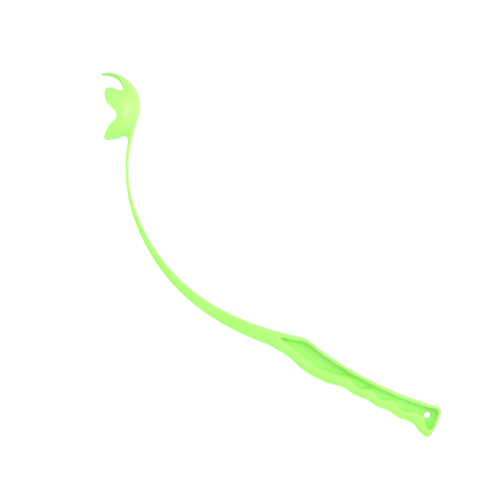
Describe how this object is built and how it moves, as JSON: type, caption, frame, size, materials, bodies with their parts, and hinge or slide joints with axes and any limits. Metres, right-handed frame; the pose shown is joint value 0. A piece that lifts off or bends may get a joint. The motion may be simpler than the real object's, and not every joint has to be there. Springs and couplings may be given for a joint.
{
  "type": "dog ball launcher stick",
  "caption": "Moulded plastic launcher stick: a clawed cup that grips a ball, a bowed flexible blade, and a pocketed handle with finger grooves and a hang hole.",
  "frame": {"origin": "centre of the ball that the cup holds", "axes": "+X along the handle, away from the cup; +Y to the side of the handle's spine; +Z square to the plane of the throw, which is the plane of symmetry z = 0"},
  "size_m": [0.4666, 0.1843, 0.0688],
  "materials": {
    "lime_plastic": "moulded, semi-gloss"
  },
  "bodies": {
    "handle": {"shaft": "lime_plastic", "handle_spine": "lime_plastic", "handle_web": "lime_plastic", "finger_grip": "lime_plastic", "butt_loop": "lime_plastic"},
    "head": {"ball_cup": "lime_plastic"},
    "top_claw": {"top_claw": "lime_plastic"},
    "side_claw_left": {"side_claw_left": "lime_plastic"},
    "side_claw_right": {"side_claw_right": "lime_plastic"}
  },
  "joints": [
    {"name": "shaft_flex", "type": "hinge", "parent": "handle", "child": "head", "pos_m": [0.05053, -0.04973, 0], "axis": [0, 0, -1], "range_deg": [0, 15], "stiffness_Nm_per_rad": 3},
    {"name": "top_claw_flex", "type": "hinge", "parent": "head", "child": "top_claw", "pos_m": [0.01339, 0.03191, 0], "axis": [0, 0, -1], "range_deg": [0, 6], "stiffness_Nm_per_rad": 1.2},
    {"name": "side_claw_left_flex", "type": "hinge", "parent": "head", "child": "side_claw_left", "pos_m": [0.01247, 0.0095, 0.03084], "axis": [-0.2596, 0.9474, -0.187], "range_deg": [0, 6], "stiffness_Nm_per_rad": 1.2},
    {"name": "side_claw_right_flex", "type": "hinge", "parent": "head", "child": "side_claw_right", "pos_m": [0.01247, 0.0095, -0.03084], "axis": [0.2596, -0.9474, -0.187], "range_deg": [0, 6], "stiffness_Nm_per_rad": 1.2}
  ]
}
